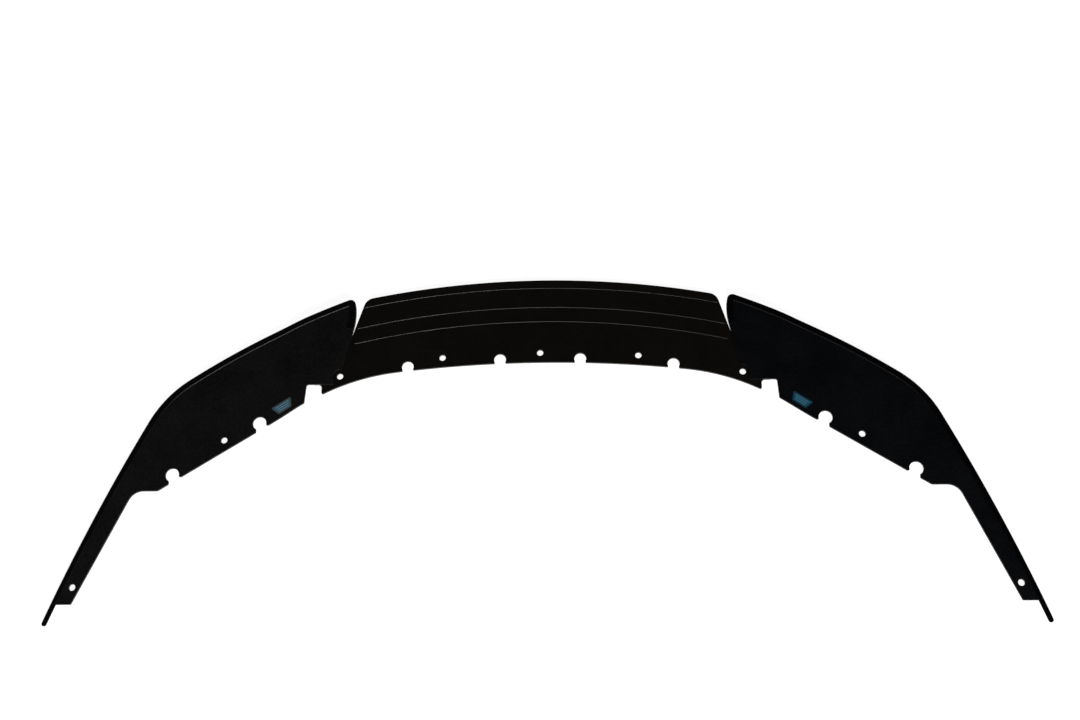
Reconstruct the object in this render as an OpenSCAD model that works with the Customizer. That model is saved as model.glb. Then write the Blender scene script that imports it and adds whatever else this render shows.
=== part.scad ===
// Front skid plate kit for a car, laid out as it is fitted: a centre plate, two wings whose
// inboard ends lie on the tabs of the centre plate, a rubber strip along the outer edge of
// each wing, and one small label on each wing.
// Millimetres. X is across the car, +Y is towards its nose, +Z is up. The origin is the
// middle of the underside of the overall box. Dimensions marked "from the bolt row" are
// measured from the middle bolt hole of the centre plate.

/* [Sheet] */
// Thickness of the plastic sheet of all three plates
sheet_t = 4.8; // [3:0.1:6.5]

/* [Centre plate] */
// Front edge on the centre line, from the bolt row
front_reach = 146.4; // [141:0.1:160]
// Radius of the front edge and of the grooves
front_r = 1660; // [1400:10:2400]
// Half width of the plate at its front corners
corner_x = 331.7; // [325:0.1:335]
// Lean of the side edges from the Y axis, in degrees
side_lean = 18; // [16:0.1:20]
// Radius of the two front corners
corner_r = 21; // [4:0.5:24]
// Rear edge on the centre line, from the bolt row
rear_reach = 18.8; // [16:0.1:24]
// Radius of the middle part of the rear edge
rear_r = 2300; // [1900:10:3000]
// Half width of the middle part of the rear edge
rear_mid_x = 271.5; // [262:0.5:280]
// Radius of the two ends of the rear edge
rear_end_r = 400; // [370:5:440]

/* [Tabs of the centre plate] */
// Outboard end of the exposed foot of each tab, from the centre line
foot_x = 409; // [402:0.1:412]
// Radius of the corner at the end of the foot
foot_r = 2.5; // [1:0.1:4]
// Radius of the inner corner where the tab runs out under the wing
hook_r = 7; // [3:0.1:9]
// Outboard end of the part of the tab that the wing covers
tab_x = 431; // [422:0.5:433]
// Front edge of the covered part, from the bolt row
tab_front_y = 2; // [-6:0.5:10]
// How far in front of that the tab leaves the side edge of the plate
tab_slope = 6; // [2:0.5:10]
// Radius where it leaves the side edge
tab_hollow_r = 4; // [2:0.5:8]
// Radius of the corners of the covered part
tab_r = 9; // [4:0.5:14]
// Distance of the tab's covered rear edge in front of the wing's rear edge
tab_set = 1; // [0.5:0.5:4]

/* [Grooves of the centre plate] */
// Distances of the three grooves from the front edge
groove_set = [17, 56, 84.8]; // [10:0.1:100]
// Distances of their ends from the centre line
groove_end = [333.3, 346, 350.6]; // [300:0.1:352]
// Width of a groove at the top
groove_w = 2; // [1:0.1:4]
// Depth of a groove
groove_depth = 1; // [0.5:0.1:2.4]

/* [Bolt holes] */
// Diameter of every bolt hole
bolt_d = 12; // [8:0.1:14]
// Outer pair of holes in the centre plate: distance from the centre line and from the bolt row
pair_hole = [183.2, 7.4]; // [0:0.1:200]
// Hole in each tab: distance from the centre line and from the bolt row
tab_hole = [375.3, 41.9]; // [0:0.1:380]
// Hole in each wing: distance from the centre line and from the bolt row
wing_hole = [585.7, 164.2]; // [0:0.1:600]
// Hole in each arm: distance from the centre line and from the bolt row
arm_hole = [841.8, 437.6]; // [0:0.1:850]

/* [Keyholes] */
// Round head of the keyholes in the centre plate
key_d = 22.2; // [16:0.1:23]
// Mouth width of the keyholes in the centre plate
key_mouth = 19.6; // [10:0.1:20]
// Distances of these keyholes from the centre line
key_x = [75, 248.2]; // [60:0.1:255]
// Centre of the head in front of the rear edge
key_inset = 7.6; // [6:0.1:9]
// Round head of the keyholes in the wings
wing_key_d = 25.4; // [18:0.1:26]
// Mouth of the keyholes in the wings: its inboard and outboard sides from the head's centre
wing_key_mouth = [-10.4, 5.9]; // [-11:0.1:11]
// How far the sides of that mouth run past the head's centre
wing_mouth_rise = 3; // [0:0.5:5]
// Distances of the two keyholes of a wing from the centre line
wing_key_x = [521.7, 677.6]; // [500:0.1:690]
// Centre of the head in front of the rear edge of the wing, along Y
wing_key_inset = 14; // [13:0.1:15]
// Radius of the lips of the keyholes in the centre plate
lip_r = 1.8; // [1:0.1:4]
// Radii of the inboard and outboard lips of the keyholes in the wings
wing_lip_r = [4.8, 3]; // [1:0.1:5]
// Side of the wing's mouth at the tab hole, outboard of the hole's centre
tab_mouth = 11; // [8:0.1:12]

/* [Wings] */
// Front edge: inboard and outboard ends of its arc, X and Y from the bolt row
front_in = [389, 99.8]; // [-50:0.1:660]
front_out = [650, -39.3]; // [-50:0.1:660]
// Radius of the front edge
wing_front_r = 1460; // [1350:10:2000]
// Radius of the outer corner
wing_corner_r = 212; // [150:1:240]
// Outer edge of the arm: upper and lower ends of its arc, X and Y from the bolt row
arm_out_a = [735.6, -138.3]; // [-500:0.1:900]
arm_out_b = [884.5, -488.2]; // [-500:0.1:900]
// Radius of the outer edge of the arm
arm_out_r = 3560; // [2500:10:6000]
// Inboard side of the nose: its most inboard point
nose_at = [349.4, 81]; // [70:0.1:352]
// Radius of the inboard side of the nose
nose_bow_r = 130; // [100:1:180]
// Radius of the tip of the nose
nose_r = 9.8; // [6:0.5:14]
// Inboard edge over the tab: its front and rear points
seam_a = [355.5, 40]; // [20:0.1:360]
seam_b = [372, -27]; // [-30:0.1:375]
// Rear edge over the tab, behind the bolt row
wing_foot_y = 58.6; // [55:0.1:60]
// Outboard wall of the notch at its front and at its rear, from the centre line
notch_x = [436.8, 439.5]; // [435:0.1:443]
// Radii of the notch: front corner and rear corner
notch_r = [4, 3]; // [1:0.1:5]
// Rear edge: one point on it, X and Y from the bolt row
rear_at = [595.2, -192.2]; // [-200:0.1:600]
// Angle of the rear edge to the X axis, in degrees
rear_angle = 32.1; // [30:0.1:34]
// Shelf beside the arm, behind the bolt row
shelf_y = 259.7; // [255:0.1:265]
// Radius between the rear edge and the shelf
shelf_r = 9; // [3:0.5:14]
// Radius between the shelf and the arm
arm_fillet_r = 28; // [20:1:45]

/* [Arms] */
// Inner edge of the arm: one point on it, X and Y from the bolt row
arm_in_at = [796.9, -369.4]; // [-400:0.1:800]
// Angle of the inner edge of the arm to the Y axis, in degrees
arm_in_lean = 24.25; // [22:0.05:26]
// End of the arm, behind the bolt row
arm_end_y = 468.4; // [460:0.1:475]
// Radii of the inner and outer corners of the arm's end
arm_end_r = [3, 2]; // [1:0.1:5]

/* [Bend of the wings] */
// Where the wing starts to come down from the tab
bend_x0 = 434; // [434:1:445]
// Where the wing reaches the level of the centre plate
bend_x1 = 506; // [500:1:560]

/* [Edge strips] */
// Width of the strip round the nose, along the front and round the corner
strip_w = 12.2; // [9:0.1:14]
// Width of the strip at the end of the arm, to which it narrows down the arm
strip_tail_w = 9.4; // [6:0.1:12]
// Thickness of the strip
strip_t = 2.4; // [1.5:0.1:4]
// Width of the slopes along both edges of its top
strip_slope = 1; // [0.4:0.1:1.4]
// Radius of the strip's inner corner at the tip of the nose
strip_nose_r = 2; // [1:0.5:4]
// End of the strip on the inboard side of the nose, from the bolt row
strip_start_y = 52; // [46:1:60]
// Length of the free tail past the end of the arm
tail = 39.3; // [10:0.1:50]

/* [Labels] */
// Lengths of the front and rear sides of a label
label_sides = [43, 28]; // [20:0.5:46]
// Width of a label
label_w = 18; // [10:0.5:20]
// Centre of a label: distance from the centre line and from the bolt row
label_at = [479.2, 99.9]; // [90:0.1:490]
// Corner radius of a label
label_r = 2.5; // [1:0.1:5]
// Thickness of a label
label_t = 0.3; // [0.2:0.05:0.5]

/* [Hidden] */

// Distance from the bolt row back to the tip of the tails, and the shift that puts the
// middle of the whole depth at Y = 0
tip_y = arm_end_y + tail;
row_y = (tip_y - front_reach) / 2;
// Height of the prisms that the plates and holes are cut with, and how far they start below
cut_h = 4 * sheet_t;
cut_z = -sheet_t / 4;
black = [0.06, 0.06, 0.065];
rubber = [0.035, 0.035, 0.035];
film = [0.16, 0.36, 0.5];
// How far an edge's own arc stops short of a rounded corner, and its points per arc
lead = 8;
long_n = 24;
short_n = 6;

// Small vector helpers
function unit(v) = v / norm(v);
function angle_of(v) = atan2(v[1], v[0]);
function turn(a) = a > 180 ? a - 360 : a <= -180 ? a + 360 : a;

// Points on an arc about c from angle a0 to angle a1, in n steps
function arc(c, r, a0, a1, n) =
    [for (i = [0 : n]) c + r * [cos(a0 + (a1 - a0) * i / n), sin(a0 + (a1 - a0) * i / n)]];

// Centre of the circle of radius r through p and q, to the right of the way from p to q
function centre_right(p, q, r) =
    let (m = (p + q) / 2, d = unit(q - p), h = sqrt(r * r - pow(norm(q - p) / 2, 2)))
    m + h * [d[1], -d[0]];

// Right-hand meeting point of two circles, seen from c1 towards c2
function meet(c1, r1, c2, r2) =
    let (d = norm(c2 - c1), u = unit(c2 - c1), a = (r1 * r1 - r2 * r2 + d * d) / (2 * d),
         h = sqrt(r1 * r1 - a * a))
    c1 + a * u + h * [u[1], -u[0]];

// Points of a corner at v of radius r, coming from a and going to b
function corner(a, v, b, r, steps = 0) =
    let (u1 = unit(a - v), u2 = unit(b - v), half = acos(u1 * u2) / 2,
         c = v + unit(u1 + u2) * r / sin(half),
         s = v + u1 * r / tan(half), e = v + u2 * r / tan(half),
         a0 = angle_of(s - c), da = turn(angle_of(e - c) - a0),
         n = steps > 0 ? steps : max(3, ceil(abs(da) / 9)))
    arc(c, r, a0, a0 + da, n);

// Closed path of [x, y, r] rows with each corner rounded to its own radius
function rounded(p) =
    [for (i = [0 : len(p) - 1])
        let (n = len(p), a = p[(i + n - 1) % n], v = p[i], b = p[(i + 1) % n])
        each (v[2] > 0 ? corner([a[0], a[1]], [v[0], v[1]], [b[0], b[1]], v[2])
                       : [[v[0], v[1]]])];

// Rows with radius 0 from plain points
function plain(p) = [for (q = p) [q[0], q[1], 0]];

// Centre plate: circles of its front edge and of the two parts of its rear edge
front_c = [0, front_reach - front_r];
rear_c = [0, -rear_reach - rear_r];
rear_u = [rear_mid_x / rear_r, sqrt(1 - pow(rear_mid_x / rear_r, 2))];
rear_end_c = rear_c + (rear_r - rear_end_r) * rear_u;
function front_y(x, set = 0) = front_c[1] + sqrt(front_r * front_r - x * x) - set;
function rear_y(x) =
    x < rear_mid_x ? rear_c[1] + sqrt(rear_r * rear_r - x * x)
                   : rear_end_c[1] + sqrt(pow(rear_end_r, 2) - pow(x - rear_end_c[0], 2));
corner_y = front_y(corner_x);
function side_x(y) = corner_x + (corner_y - y) * tan(side_lean);

// Mouth of a keyhole in an edge that the path follows from a larger x to a smaller one: the
// two lips, and two points inside the round head
function mouth(x0, x1, y0, y1, head_y, r0, r1) =
    [[x1, y1, r1], [x1, head_y, 0], [x0, head_y, 0], [x0, y0, r0]];
function key_mouth_rows(x) =
    let (x0 = x - key_mouth / 2, x1 = x + key_mouth / 2)
    mouth(x0, x1, rear_y(x0), rear_y(x1), rear_y(x) + key_inset, lip_r, lip_r);
function rear_rows(from, to) =
    let (n = ceil((from - to) / rear_step))
    plain([for (i = [0 : n]) let (x = from + (to - from) * i / n) [x, rear_y(x)]]);

// Right half of the outline from the front on the centre line to the rear
rear_step = 15;
front_stop = corner_x - 2 * lead;
tab_leave_y = tab_front_y + tab_slope;
tab_rear_y = -wing_foot_y + tab_set;
mouth_stop = key_mouth / 2 + lead;
centre_half = concat(
    plain([for (i = [1 : long_n]) let (x = front_stop * i / long_n) [x, front_y(x)]]),
    [[corner_x, corner_y, corner_r],
     [side_x(tab_leave_y), tab_leave_y, tab_hollow_r],
     [tab_x, tab_front_y, tab_r],
     [tab_x, tab_rear_y, tab_r],
     [foot_x, tab_rear_y, hook_r],
     [foot_x, rear_y(foot_x), foot_r]],
    rear_rows(foot_x - lead, key_x[1] + mouth_stop),
    key_mouth_rows(key_x[1]),
    rear_rows(key_x[1] - mouth_stop, key_x[0] + mouth_stop),
    key_mouth_rows(key_x[0]),
    rear_rows(key_x[0] - mouth_stop, rear_step));
function flip(p) = [for (i = [len(p) - 1 : -1 : 0]) [-p[i][0], p[i][1], p[i][2]]];
centre_outline = rounded(concat([[0, front_reach, 0]], centre_half, [[0, -rear_reach, 0]],
                                flip(centre_half)));

// Round head of a keyhole
module key_head(x, y, d) {
    translate([x, y, cut_z]) cylinder(h = cut_h, d = d, $fn = 72);
}

module bolt_hole(x, y) {
    translate([x, y, cut_z]) cylinder(h = cut_h, d = bolt_d, $fn = 64);
}

// One groove: a V turned about the centre of the front edge, cut off at its two ends
module groove(set, end) {
    intersection() {
        translate([front_c[0], front_c[1], sheet_t])
            rotate_extrude($fn = 720)
                translate([front_r - set, 0])
                    polygon([[-groove_w, groove_depth], [0, -groove_depth],
                             [groove_w, groove_depth]]);
        translate([-end, 0, 0]) cube([2 * end, front_reach, cut_h]);
    }
}

module centre_plate() {
    color(black) translate([0, row_y, 0]) difference() {
        linear_extrude(height = sheet_t) polygon(centre_outline);
        for (i = [0 : len(groove_set) - 1])
            groove(groove_set[i], groove_end[i]);
        bolt_hole(0, 0);
        for (s = [-1, 1]) {
            bolt_hole(s * pair_hole[0], -pair_hole[1]);
            bolt_hole(s * tab_hole[0], -tab_hole[1]);
            for (x = key_x)
                key_head(s * x, rear_y(x) + key_inset, key_d);
        }
    }
}

// Wings: circles of the outer edge, the nose and the corner that is tangent to both outer arcs
wing_front_c = centre_right(front_in, front_out, wing_front_r);
arm_out_c = centre_right(arm_out_a, arm_out_b, arm_out_r);
wing_corner_c = meet(wing_front_c, wing_front_r - wing_corner_r,
                     arm_out_c, arm_out_r - wing_corner_r);
nose_c = nose_at + [nose_bow_r, 0];
corner_a0 = angle_of(wing_corner_c - wing_front_c);
corner_a1 = angle_of(wing_corner_c - arm_out_c);

// Outer edge from y0 on the nose side round the nose, along the front, round the corner and
// down the arm to the angle e1. It is moved in by w as far as the corner, and by a share that
// changes from w to u down the arm.
nose_lead = 20;
bow_n = 14;
function outer_edge(w, u, y0, e1) =
    let (r0 = nose_bow_r - w,
         rf = wing_front_r - w,
         tip = meet(nose_c, r0, wing_front_c, rf),
         b0 = 180 - asin((y0 - nose_c[1]) / r0),
         b1 = 180 - asin((tip[1] - nose_lead - nose_c[1]) / r0),
         f0 = angle_of(tip - wing_front_c) - asin(nose_lead / rf),
         side = arc(nose_c, r0, b0, b1, short_n),
         front = arc(wing_front_c, rf, f0, corner_a0, long_n),
         bow = arc(wing_corner_c, wing_corner_r - w, corner_a0, corner_a1, bow_n))
    concat(side,
           corner(side[short_n], tip, front[0], max(nose_r - w, strip_nose_r), short_n),
           front,
           [for (i = [1 : bow_n - 1]) bow[i]],
           [for (i = [0 : long_n])
               let (a = corner_a1 + (e1 - corner_a1) * i / long_n,
                    r = arm_out_r - w - (u - w) * i / long_n)
               arm_out_c + r * [cos(a), sin(a)]]);

function arm_out_x(y) = arm_out_c[0] + sqrt(pow(arm_out_r, 2) - pow(y - arm_out_c[1], 2));

// Angle on the arm's outer arc, moved in by w, at a distance behind the bolt row
function arm_angle(w, y) = asin((-y - arm_out_c[1]) / (arm_out_r - w));

// Rear edge line and the arm's inner edge line
function rear_line_y(x) = rear_at[1] - (x - rear_at[0]) * tan(rear_angle);
function rear_line_x(y) = rear_at[0] - (y - rear_at[1]) / tan(rear_angle);
function arm_in_x(y) = arm_in_at[0] - (y - arm_in_at[1]) * tan(arm_in_lean);
function seam_x(y) =
    seam_b[0] + (seam_a[0] - seam_b[0]) * (y - seam_b[1]) / (seam_a[1] - seam_b[1]);

function wing_mouth_rows(x) =
    let (x0 = x + wing_key_mouth[0], x1 = x + wing_key_mouth[1])
    mouth(x0, x1, rear_line_y(x0), rear_line_y(x1),
          rear_line_y(x) + wing_key_inset + wing_mouth_rise, wing_lip_r[0], wing_lip_r[1]);

wing_outline = rounded(concat(
    [[tab_hole[0] + tab_mouth, -wing_foot_y, wing_lip_r[1]],
     [tab_hole[0] + tab_mouth, -tab_hole[1], 0],
     [seam_x(-tab_hole[1]), -tab_hole[1], 0],
     [seam_a[0], seam_a[1], 0]],
    plain(outer_edge(0, 0, seam_a[1] + lead, arm_angle(0, arm_end_y - lead))),
    [[arm_out_x(-arm_end_y), -arm_end_y, arm_end_r[1]],
     [arm_in_x(-arm_end_y), -arm_end_y, arm_end_r[0]],
     [arm_in_x(-shelf_y), -shelf_y, arm_fillet_r],
     [rear_line_x(-shelf_y), -shelf_y, shelf_r]],
    wing_mouth_rows(wing_key_x[1]),
    wing_mouth_rows(wing_key_x[0]),
    [[notch_x[1], rear_line_y(notch_x[1]), notch_r[1]],
     [notch_x[0], -wing_foot_y, notch_r[0]]]));

// Height of a wing's underside along X: on the tab, then two tangent arcs down to Z = 0
bend_r = (pow(bend_x1 - bend_x0, 2) / 4 + pow(sheet_t, 2) / 4) / sheet_t;
bend_mid = (bend_x0 + bend_x1) / 2;
function rise(x) =
    x <= bend_x0 ? sheet_t
    : x < bend_mid ? sheet_t - bend_r + sqrt(pow(bend_r, 2) - pow(x - bend_x0, 2))
    : x < bend_x1 ? bend_r - sqrt(pow(bend_r, 2) - pow(bend_x1 - x, 2))
    : 0;
bend_n = 16;
bend_xs = concat([nose_at[0] - cut_h],
                 [for (i = [0 : bend_n]) bend_x0 + (bend_x1 - bend_x0) * i / bend_n],
                 [arm_out_x(-tip_y) + cut_h]);

// A layer that follows the wing from z0 to z1 above its underside
module layer(z0, z1) {
    under = [for (x = bend_xs) [x, rise(x) + z0]];
    over = [for (i = [len(bend_xs) - 1 : -1 : 0]) [bend_xs[i], rise(bend_xs[i]) + z1]];
    translate([0, front_reach, 0]) rotate([90, 0, 0])
        linear_extrude(height = front_reach + tip_y) polygon(concat(under, over));
}

module wing() {
    color(black) translate([0, row_y, 0]) difference() {
        intersection() {
            translate([0, 0, cut_z]) linear_extrude(height = cut_h) polygon(wing_outline);
            layer(0, sheet_t);
        }
        bolt_hole(wing_hole[0], -wing_hole[1]);
        bolt_hole(arm_hole[0], -arm_hole[1]);
        for (x = wing_key_x)
            key_head(x, rear_line_y(x) + wing_key_inset, wing_key_d);
        key_head(tab_hole[0], -tab_hole[1], wing_key_d);
    }
}

// Edge strip: one cross-section swept along the outer edge, with a round end to its tail.
// Each row of the profile is [share of the width, inset from that side, height].
strip_profile = [[0, 0, 0], [0, 0, strip_t - strip_slope], [0, strip_slope, strip_t],
                 [1, -strip_slope, strip_t], [1, 0, strip_t - strip_slope], [1, 0, 0]];
tail_r = strip_tail_w / 2;
tail_angle = arm_angle(tail_r, tip_y - tail_r);
tail_turn = 84;
function across(row, w) = row[0] * w + row[1];
function strip_side(row) =
    let (u = across(row, strip_tail_w))
    concat(outer_edge(across(row, strip_w), u, strip_start_y, tail_angle),
           [for (i = [1 : short_n])
               let (a = tail_turn * i / short_n,
                    r = arm_out_r - tail_r - (u - tail_r) * cos(a),
                    e = tail_angle - asin(tail_r * sin(a) / arm_out_r))
               arm_out_c + r * [cos(e), sin(e)]]);
strip_sides = [for (row = strip_profile) strip_side(row)];
strip_rows = len(strip_sides[0]);
strip_cols = len(strip_profile);

module edge_strip() {
    points = [for (i = [0 : strip_rows - 1]) for (k = [0 : strip_cols - 1])
        let (p = strip_sides[k][i]) [p[0], p[1], rise(p[0]) + sheet_t + strip_profile[k][2]]];
    skin = [for (i = [0 : strip_rows - 2]) for (k = [0 : strip_cols - 1])
        let (a = i * strip_cols + k, b = i * strip_cols + (k + 1) % strip_cols)
        each [[a, a + strip_cols, b], [b, a + strip_cols, b + strip_cols]]];
    ends = [[for (k = [0 : strip_cols - 1]) k],
            [for (k = [strip_cols - 1 : -1 : 0]) (strip_rows - 1) * strip_cols + k]];
    color(rubber) translate([0, row_y, 0])
        polyhedron(points = points, faces = concat(skin, ends));
}

label_outline = let (a = label_sides[0] / 2, c = label_sides[1] / 2, b = label_w / 2)
    rounded([[-c, -b, label_r], [c, -b, label_r], [a, b, label_r], [-a, b, label_r]]);

module label() {
    color(film) translate([0, row_y, 0]) intersection() {
        translate([label_at[0], -label_at[1], 0]) rotate([0, 0, -rear_angle])
            linear_extrude(height = cut_h) polygon(label_outline);
        layer(sheet_t, sheet_t + label_t);
    }
}

module right_wing() { wing(); }
module left_wing() { mirror([1, 0, 0]) wing(); }
module right_edge_strip() { edge_strip(); }
module left_edge_strip() { mirror([1, 0, 0]) edge_strip(); }
module right_label() { label(); }
module left_label() { mirror([1, 0, 0]) label(); }

centre_plate();
left_wing();
right_wing();
left_edge_strip();
right_edge_strip();
left_label();
right_label();
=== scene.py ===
import math

import bmesh
import bpy
from mathutils import Matrix, Vector

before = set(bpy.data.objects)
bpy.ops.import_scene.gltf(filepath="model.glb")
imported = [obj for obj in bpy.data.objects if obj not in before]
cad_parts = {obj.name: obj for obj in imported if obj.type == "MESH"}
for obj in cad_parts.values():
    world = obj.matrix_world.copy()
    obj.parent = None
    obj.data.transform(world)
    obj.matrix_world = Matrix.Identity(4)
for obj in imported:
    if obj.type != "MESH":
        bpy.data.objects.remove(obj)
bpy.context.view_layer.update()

# Camera
# It stands behind the plate and looks steeply down on it, as the photograph does. Its place and
# angles come from matching the plate's mirror symmetry and its round holes. X runs across the
# car, +Y towards its nose and Z up from the floor, all in metres.
BOLT_ROW_Y = 0.18065
LENS = 49.36
SENSOR = 36.0
CAMERA_AT = Vector((0.1444, BOLT_ROW_Y - 0.9484, 2.6030))
LOOK_DOWN = math.radians(70.012)
LOOK_ASIDE = math.radians(-8.795)
ROLL = math.radians(-9.034)
NEAREST = 0.05
FARTHEST = 60.0

ahead = Vector((math.sin(LOOK_ASIDE) * math.cos(LOOK_DOWN),
                math.cos(LOOK_ASIDE) * math.cos(LOOK_DOWN),
                -math.sin(LOOK_DOWN)))
level = Vector((math.cos(LOOK_ASIDE), -math.sin(LOOK_ASIDE), 0))
above = level.cross(ahead)
right = level * math.cos(ROLL) + above * math.sin(ROLL)
top = above * math.cos(ROLL) - level * math.sin(ROLL)
turn = Matrix((right, top, -ahead)).transposed().to_4x4()

camera_data = bpy.data.cameras.new("camera")
camera_data.lens = LENS
camera_data.sensor_width = SENSOR
camera_data.clip_start = NEAREST
camera_data.clip_end = FARTHEST
camera = bpy.data.objects.new("camera", camera_data)
camera.matrix_world = Matrix.Translation(CAMERA_AT) @ turn
bpy.context.scene.collection.objects.link(camera)
bpy.context.scene.camera = camera
bpy.context.scene.view_settings.view_transform = "Standard"


# Floor
# A plain pale sheet, large enough to fill the view. A glow that only the camera and mirrored
# rays see brings it to white, and it still takes the plate's soft shadow.
FLOOR_HALF = 9.0
FLOOR_DROP = 0.0002
FLOOR_TONE = (0.86, 0.86, 0.86, 1)
FLOOR_ROUGHNESS = 0.9
FLOOR_GLOW = 0.93


def shader_tree(name):
    """A new material with its shader; returns the material, its tree and the shader."""
    material = bpy.data.materials.new(name)
    material.use_nodes = True
    tree = material.node_tree
    return material, tree, tree.nodes["Principled BSDF"]


def put(tree, kind, **settings):
    """A new node of a kind, with its plain settings."""
    made = tree.nodes.new(kind)
    for key, value in settings.items():
        setattr(made, key, value)
    return made


def maths(tree, operation, *values):
    """A Math node of sockets and numbers; returns its output."""
    made = put(tree, "ShaderNodeMath", operation=operation)
    for socket, value in zip(made.inputs, values):
        if isinstance(value, (int, float)):
            socket.default_value = value
        else:
            tree.links.new(value, socket)
    return made.outputs["Value"]


sheet = bmesh.new()
bmesh.ops.create_grid(sheet, x_segments=1, y_segments=1, size=FLOOR_HALF,
                      matrix=Matrix.Translation((0, 0, -FLOOR_DROP)))
floor_mesh = bpy.data.meshes.new("floor")
sheet.to_mesh(floor_mesh)
sheet.free()
floor = bpy.data.objects.new("floor", floor_mesh)
bpy.context.scene.collection.objects.link(floor)

floor_material, floor_tree, floor_shader = shader_tree("floor")
floor_shader.inputs["Base Color"].default_value = FLOOR_TONE
floor_shader.inputs["Roughness"].default_value = FLOOR_ROUGHNESS
floor_shader.inputs["Specular IOR Level"].default_value = 0.0
floor_shader.inputs["Emission Color"].default_value = (1, 1, 1, 1)
floor_rays = put(floor_tree, "ShaderNodeLightPath")
seen = maths(floor_tree, "MAXIMUM", floor_rays.outputs["Is Camera Ray"],
             floor_rays.outputs["Is Glossy Ray"])
floor_tree.links.new(maths(floor_tree, "MULTIPLY", seen, FLOOR_GLOW),
                     floor_shader.inputs["Emission Strength"])
floor_mesh.materials.append(floor_material)


# Light
# Three large soft boxes stand low behind the plate, the strongest a little to the right. They
# light its slopes, while in the photograph's view the flat tops mirror the dim ceiling and stay
# black. The camera sees a white surround beyond the floor.
AIM = Vector((0, 0, 0))
KEY_AT = (0.9, -4.9, 1.9)
KEY_SIZE = 2.0
KEY_POWER = 180.0
SIDE_SIZE = 1.4
RIGHT_AT = (2.9, -4.1, 1.9)
RIGHT_POWER = 34.0
LEFT_AT = (-2.8, -4.1, 1.7)
LEFT_POWER = 14.0
CEILING = (0.032, 0.032, 0.033, 1)
SURROUND = (0.95, 0.95, 0.95, 1)


def soft_box(name, at, size, power):
    """A square area lamp at a place, aimed at the middle of the plate."""
    data = bpy.data.lights.new(name, "AREA")
    data.shape = "SQUARE"
    data.size = size
    data.energy = power
    made = bpy.data.objects.new(name, data)
    made.location = at
    made.rotation_mode = "QUATERNION"
    made.rotation_quaternion = (AIM - Vector(at)).to_track_quat("-Z", "Y")
    bpy.context.scene.collection.objects.link(made)


soft_box("key_box", KEY_AT, KEY_SIZE, KEY_POWER)
soft_box("right_box", RIGHT_AT, SIDE_SIZE, RIGHT_POWER)
soft_box("left_box", LEFT_AT, SIDE_SIZE, LEFT_POWER)

world = bpy.data.worlds.new("studio")
world.use_nodes = True
sky = world.node_tree
sky_rays = put(sky, "ShaderNodeLightPath")
sky_mix = put(sky, "ShaderNodeMix", data_type="RGBA")
sky_mix.inputs["A"].default_value = CEILING
sky_mix.inputs["B"].default_value = SURROUND
sky.links.new(sky_rays.outputs["Is Camera Ray"], sky_mix.inputs["Factor"])
sky.links.new(sky_mix.outputs["Result"], sky.nodes["Background"].inputs["Color"])
bpy.context.scene.world = world


# Centre plate
# One flat sheet of smooth satin plastic, cut to its outline with the bolt holes and keyholes,
# and with three shallow grooves across it. Its black has a faint warm cast.
# The effects that every plastic part shares are made here: grain, patches, scuffs, rubbed edges.
GRAIN_HEIGHT = 0.0002
GRAIN_RIPPLE = 2.0
CELL_SMOOTHNESS = 0.6
RIPPLE_SHARE = 0.55
RIPPLE_DETAIL = 3.0
CLOUD_SCALE = 9.0
CLOUD_DETAIL = 8.0
CLOUD_ROUGHNESS = 0.68
CLOUD_RANGE = (0.36, 0.64)
STREAK_TURN = 0.45
STREAK_SCALE = (14, 320, 60)
STREAK_DETAIL = 2.0
STREAK_RANGE = (0.66, 0.74)
EDGE_REACH = 0.0009
EDGE_SAMPLES = 6
EDGE_TURN_RANGE = (0.975, 0.85)
EDGE_PATCH_SCALE = 45.0
EDGE_PATCH_DETAIL = 4.0
EDGE_PATCH_RANGE = (0.40, 0.62)
LEAST_EDGE_WEAR = 0.15
RUBBED_TONE = (0.042, 0.042, 0.040, 1)
SPECKLE_RANGE = (1.18, 1.52)
SPECKLE_SHARE = 0.65
SCUFF_DULLNESS = 0.25


def group(name, inputs, outputs):
    """A new node group with sockets given as (name, type, default) rows."""
    tree = bpy.data.node_groups.new(name, "ShaderNodeTree")
    for label, kind, start in inputs:
        socket = tree.interface.new_socket(label, in_out="INPUT", socket_type=kind)
        if start is not None:
            socket.default_value = start
    for label, kind in outputs:
        tree.interface.new_socket(label, in_out="OUTPUT", socket_type=kind)
    return tree, put(tree, "NodeGroupInput"), put(tree, "NodeGroupOutput")


def ramp(tree, value, low, high, black, white):
    """Maps a value from low..high to black..white, clamped; returns the output."""
    made = put(tree, "ShaderNodeMapRange")
    for label, number in (("From Min", low), ("From Max", high), ("To Min", black),
                          ("To Max", white)):
        made.inputs[label].default_value = number
    tree.links.new(value, made.inputs["Value"])
    return made.outputs["Result"]


# Grain of moulded plastic: rounded cells with shallow valleys between them.
grain, grain_in, grain_out = group(
    "moulded_grain",
    [("Vector", "NodeSocketVector", None), ("Scale", "NodeSocketFloat", 500.0),
     ("Depth", "NodeSocketFloat", 0.5)],
    [("Normal", "NodeSocketVector"), ("Height", "NodeSocketFloat")])
cells = put(grain, "ShaderNodeTexVoronoi", feature="SMOOTH_F1")
cells.inputs["Smoothness"].default_value = CELL_SMOOTHNESS
ripple = put(grain, "ShaderNodeTexNoise")
ripple.inputs["Detail"].default_value = RIPPLE_DETAIL
bump = put(grain, "ShaderNodeBump")
bump.inputs["Distance"].default_value = GRAIN_HEIGHT
for texture in (cells, ripple):
    grain.links.new(grain_in.outputs["Vector"], texture.inputs["Vector"])
grain.links.new(grain_in.outputs["Scale"], cells.inputs["Scale"])
grain.links.new(maths(grain, "MULTIPLY", grain_in.outputs["Scale"], RIPPLE_SHARE),
                ripple.inputs["Scale"])
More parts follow.
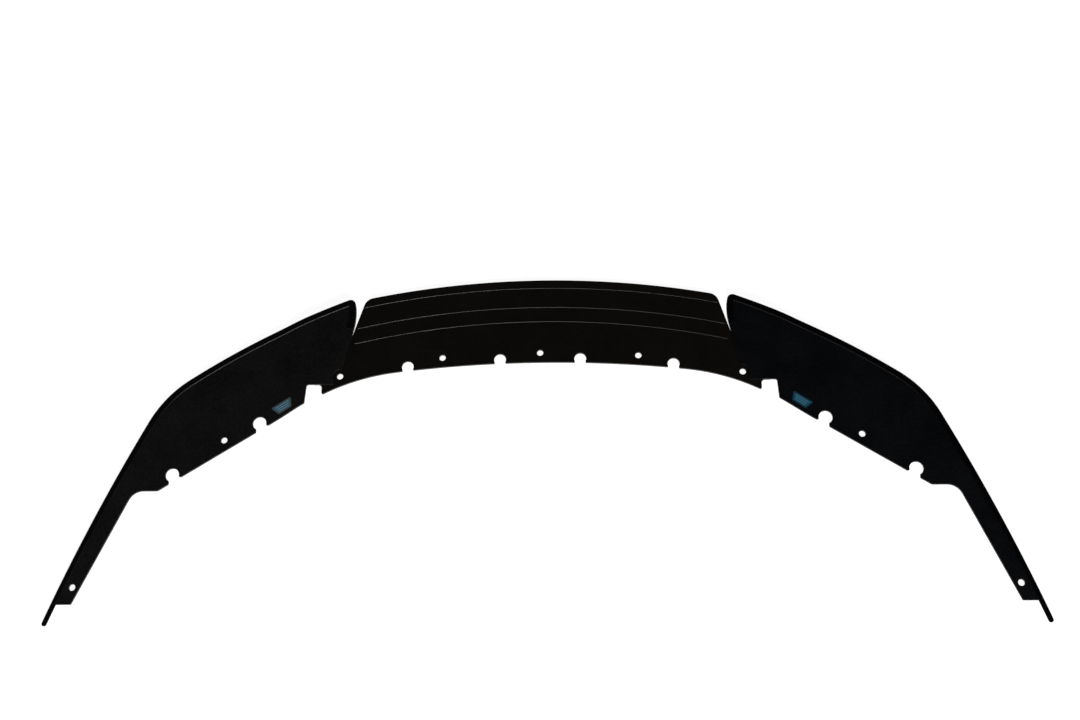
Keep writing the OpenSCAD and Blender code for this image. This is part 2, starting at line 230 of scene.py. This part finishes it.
relief = maths(grain, "MULTIPLY_ADD", ripple.outputs["Fac"], GRAIN_RIPPLE,
               cells.outputs["Distance"])
grain.links.new(relief, bump.inputs["Height"])
grain.links.new(grain_in.outputs["Depth"], bump.inputs["Strength"])
grain.links.new(bump.outputs["Normal"], grain_out.inputs["Normal"])
grain.links.new(relief, grain_out.inputs["Height"])

# Cloudy patches and fine stray scuffs, as masks from 0 to 1.
marks, marks_in, marks_out = group(
    "patches_and_scuffs", [("Vector", "NodeSocketVector", None)],
    [("Patches", "NodeSocketFloat"), ("Scuffs", "NodeSocketFloat")])
cloud = put(marks, "ShaderNodeTexNoise")
cloud.inputs["Scale"].default_value = CLOUD_SCALE
cloud.inputs["Detail"].default_value = CLOUD_DETAIL
cloud.inputs["Roughness"].default_value = CLOUD_ROUGHNESS
stretch = put(marks, "ShaderNodeMapping")
stretch.inputs["Rotation"].default_value = (0, 0, STREAK_TURN)
stretch.inputs["Scale"].default_value = STREAK_SCALE
streak = put(marks, "ShaderNodeTexNoise")
streak.inputs["Scale"].default_value = 1.0
streak.inputs["Detail"].default_value = STREAK_DETAIL
marks.links.new(marks_in.outputs["Vector"], cloud.inputs["Vector"])
marks.links.new(marks_in.outputs["Vector"], stretch.inputs["Vector"])
marks.links.new(stretch.outputs["Vector"], streak.inputs["Vector"])
marks.links.new(ramp(marks, cloud.outputs["Fac"], *CLOUD_RANGE, 0.0, 1.0),
                marks_out.inputs["Patches"])
marks.links.new(ramp(marks, streak.outputs["Fac"], *STREAK_RANGE, 0.0, 1.0),
                marks_out.inputs["Scuffs"])

# Rubbed edges, as a mask from 0 to 1: it rises where the surface turns within a short reach.
rubbed, rubbed_in, rubbed_out = group(
    "rubbed_edges", [("Vector", "NodeSocketVector", None)], [("Wear", "NodeSocketFloat")])
rounded = put(rubbed, "ShaderNodeBevel", samples=EDGE_SAMPLES)
rounded.inputs["Radius"].default_value = EDGE_REACH
face = put(rubbed, "ShaderNodeNewGeometry")
bend = put(rubbed, "ShaderNodeVectorMath", operation="DOT_PRODUCT")
uneven = put(rubbed, "ShaderNodeTexNoise")
uneven.inputs["Scale"].default_value = EDGE_PATCH_SCALE
uneven.inputs["Detail"].default_value = EDGE_PATCH_DETAIL
rubbed.links.new(rounded.outputs["Normal"], bend.inputs[0])
rubbed.links.new(face.outputs["True Normal"], bend.inputs[1])
rubbed.links.new(rubbed_in.outputs["Vector"], uneven.inputs["Vector"])
rubbed.links.new(maths(rubbed, "MULTIPLY",
                       ramp(rubbed, bend.outputs["Value"], *EDGE_TURN_RANGE, 0.0, 1.0),
                       ramp(rubbed, uneven.outputs["Fac"], *EDGE_PATCH_RANGE,
                            LEAST_EDGE_WEAR, 1.0)),
                 rubbed_out.inputs["Wear"])


def use(tree, shared):
    """A node that uses a shared effect on Object coordinates."""
    made = put(tree, "ShaderNodeGroup")
    made.node_tree = shared
    coords = put(tree, "ShaderNodeTexCoord")
    tree.links.new(coords.outputs["Object"], made.inputs["Vector"])
    return made


def blend(tree, factor, first, second):
    """Mixes two colours, each a socket or a plain colour; returns the output."""
    made = put(tree, "ShaderNodeMix", data_type="RGBA")
    for label, colour in (("A", first), ("B", second)):
        if isinstance(colour, tuple):
            made.inputs[label].default_value = colour
        else:
            tree.links.new(colour, made.inputs[label])
    tree.links.new(factor, made.inputs["Factor"])
    return made.outputs["Result"]


def plastic(name, dark, light, rough, cell_scale, depth, shine):
    """A black plastic with grain, patches, scuffs and rubbed edges."""
    material, tree, shader = shader_tree(name)
    worn = use(tree, marks)
    surface = use(tree, grain)
    surface.inputs["Scale"].default_value = cell_scale
    surface.inputs["Depth"].default_value = depth
    speckle = ramp(tree, surface.outputs["Height"], *SPECKLE_RANGE, 0.0, SPECKLE_SHARE)
    mottle = maths(tree, "MULTIPLY_ADD", worn.outputs["Patches"], 1.0 - SPECKLE_SHARE, speckle)
    colour = blend(tree, use(tree, rubbed).outputs["Wear"],
                   blend(tree, mottle, (*dark, 1), (*light, 1)), RUBBED_TONE)
    roughness = maths(tree, "MULTIPLY_ADD", worn.outputs["Scuffs"], SCUFF_DULLNESS,
                      ramp(tree, worn.outputs["Patches"], 0.0, 1.0, *rough))
    tree.links.new(colour, shader.inputs["Base Color"])
    tree.links.new(roughness, shader.inputs["Roughness"])
    tree.links.new(surface.outputs["Normal"], shader.inputs["Normal"])
    shader.inputs["Specular IOR Level"].default_value = shine
    return material


def dress(node, material):
    """Gives a CAD node its finish."""
    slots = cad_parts[node].data.materials
    slots.clear()
    slots.append(material)


dress("centre_plate", plastic(
    "centre_plastic", dark=(0.0033, 0.0030, 0.0024), light=(0.0104, 0.0078, 0.0049),
    rough=(0.32, 0.44), cell_scale=520.0, depth=0.15, shine=0.40))


# Wings
# Two moulded sheets of grained plastic that mirror each other and lie on the centre plate's
# tabs. The left one is a neutral black. The right one is painted darker and bluish, which is
# painted shade, since the real wings are probably alike.
dress("left_wing", plastic(
    "left_wing_plastic", dark=(0.0008, 0.0008, 0.0007), light=(0.0116, 0.0114, 0.0109),
    rough=(0.42, 0.58), cell_scale=400.0, depth=0.90, shine=0.42))
# Painted shade: the right wing's plastic is a darker, bluer copy of the left one's.
dress("right_wing", plastic(
    "right_wing_plastic_painted_shade", dark=(0.0002, 0.0005, 0.0014), light=(0.0044, 0.0053, 0.0073),
    rough=(0.40, 0.56), cell_scale=400.0, depth=0.90, shine=0.28))


# Edge strips
# A narrow raised strip of smooth rubber bonded along each wing's outer edge, from the nose to
# a free tail behind the arm. Its sloped inner side catches the light as a thin line.
STRIP_CELLS = 1500.0
STRIP_DEPTH = 0.35
# Painted light: the left strip's rubber is a lighter copy of the right one's, brightened as if
# more strongly lit.
dress("left_edge_strip", plastic(
    "left_strip_rubber_painted_light", dark=(0.0020, 0.0020, 0.0019), light=(0.0062, 0.0062, 0.0060),
    rough=(0.29, 0.38), cell_scale=STRIP_CELLS, depth=STRIP_DEPTH, shine=0.20))
dress("right_edge_strip", plastic(
    "right_strip_rubber", dark=(0.0004, 0.0005, 0.0006), light=(0.0014, 0.0015, 0.0018),
    rough=(0.31, 0.40), cell_scale=STRIP_CELLS, depth=STRIP_DEPTH, shine=0.21))


# Labels
# One small film label is stuck on each wing, a trapezoid with a rim and three pale lines along
# it, and no lettering. The lines are turned with the label, along the wing's rear edge. The
# photograph shows the left film greyer and the right one a deeper teal.
LABEL_AT = Vector((0.4792, BOLT_ROW_Y - 0.0999))
LABEL_TURN = math.radians(32.1)
LABEL_SIDES = (0.043, 0.028)
LABEL_WIDTH = 0.018
LABEL_RIM = 0.0022
LABEL_ROUGHNESS = 0.35
LINE_PITCH = 0.0042
LINE_WIDTH = 0.0013
LINE_END_GAP = 0.0055
RIM_FADE = (0.7, 1.3)
LINE_FADE = (0.3, 0.8)
LINE_END_FADE = (0.9, 1.1)

drawn, drawn_in, drawn_out = group(
    "label_marks", [("Vector", "NodeSocketVector", None)],
    [("Rim", "NodeSocketFloat"), ("Lines", "NodeSocketFloat")])
parts = put(drawn, "ShaderNodeSeparateXYZ")
drawn.links.new(drawn_in.outputs["Vector"], parts.inputs["Vector"])
from_x = maths(drawn, "SUBTRACT", maths(drawn, "ABSOLUTE", parts.outputs["X"]), LABEL_AT.x)
from_y = maths(drawn, "SUBTRACT", parts.outputs["Y"], LABEL_AT.y)
along = maths(drawn, "SUBTRACT", maths(drawn, "MULTIPLY", from_x, math.cos(LABEL_TURN)),
              maths(drawn, "MULTIPLY", from_y, math.sin(LABEL_TURN)))
over = maths(drawn, "ADD", maths(drawn, "MULTIPLY", from_x, math.sin(LABEL_TURN)),
             maths(drawn, "MULTIPLY", from_y, math.cos(LABEL_TURN)))
taper = (LABEL_SIDES[0] - LABEL_SIDES[1]) / 2 / LABEL_WIDTH
half_length = maths(drawn, "MULTIPLY_ADD", over, taper, sum(LABEL_SIDES) / 4)
end_gap = maths(drawn, "SUBTRACT", half_length, maths(drawn, "ABSOLUTE", along))
side_gap = maths(drawn, "SUBTRACT", LABEL_WIDTH / 2, maths(drawn, "ABSOLUTE", over))
rim = ramp(drawn, maths(drawn, "MINIMUM", end_gap, side_gap), LABEL_RIM * RIM_FADE[0],
           LABEL_RIM * RIM_FADE[1], 1.0, 0.0)
from_line = maths(drawn, "PINGPONG", over, LINE_PITCH / 2)
lines = maths(drawn, "MULTIPLY",
              ramp(drawn, from_line, LINE_WIDTH * LINE_FADE[0], LINE_WIDTH * LINE_FADE[1],
                   1.0, 0.0),
              ramp(drawn, end_gap, LINE_END_GAP * LINE_END_FADE[0],
                   LINE_END_GAP * LINE_END_FADE[1], 0.0, 1.0))
drawn.links.new(rim, drawn_out.inputs["Rim"])
drawn.links.new(lines, drawn_out.inputs["Lines"])


def label_film(name, dark, light, line_tone, rim_tone):
    """Film with cloudy fading, paler lines and a rim."""
    material, tree, shader = shader_tree(name)
    shown = use(tree, drawn)
    colour = blend(tree, use(tree, marks).outputs["Patches"], (*dark, 1), (*light, 1))
    colour = blend(tree, shown.outputs["Lines"], colour, (*line_tone, 1))
    colour = blend(tree, shown.outputs["Rim"], colour, (*rim_tone, 1))
    tree.links.new(colour, shader.inputs["Base Color"])
    shader.inputs["Roughness"].default_value = LABEL_ROUGHNESS
    return material


dress("left_label", label_film(
    "left_label_film", dark=(0.050, 0.215, 0.330), light=(0.125, 0.310, 0.430),
    line_tone=(0.42, 0.62, 0.75), rim_tone=(0.155, 0.165, 0.165)))
dress("right_label", label_film(
    "right_label_film", dark=(0.018, 0.110, 0.230), light=(0.032, 0.180, 0.310),
    line_tone=(0.14, 0.46, 0.60), rim_tone=(0.012, 0.070, 0.110)))
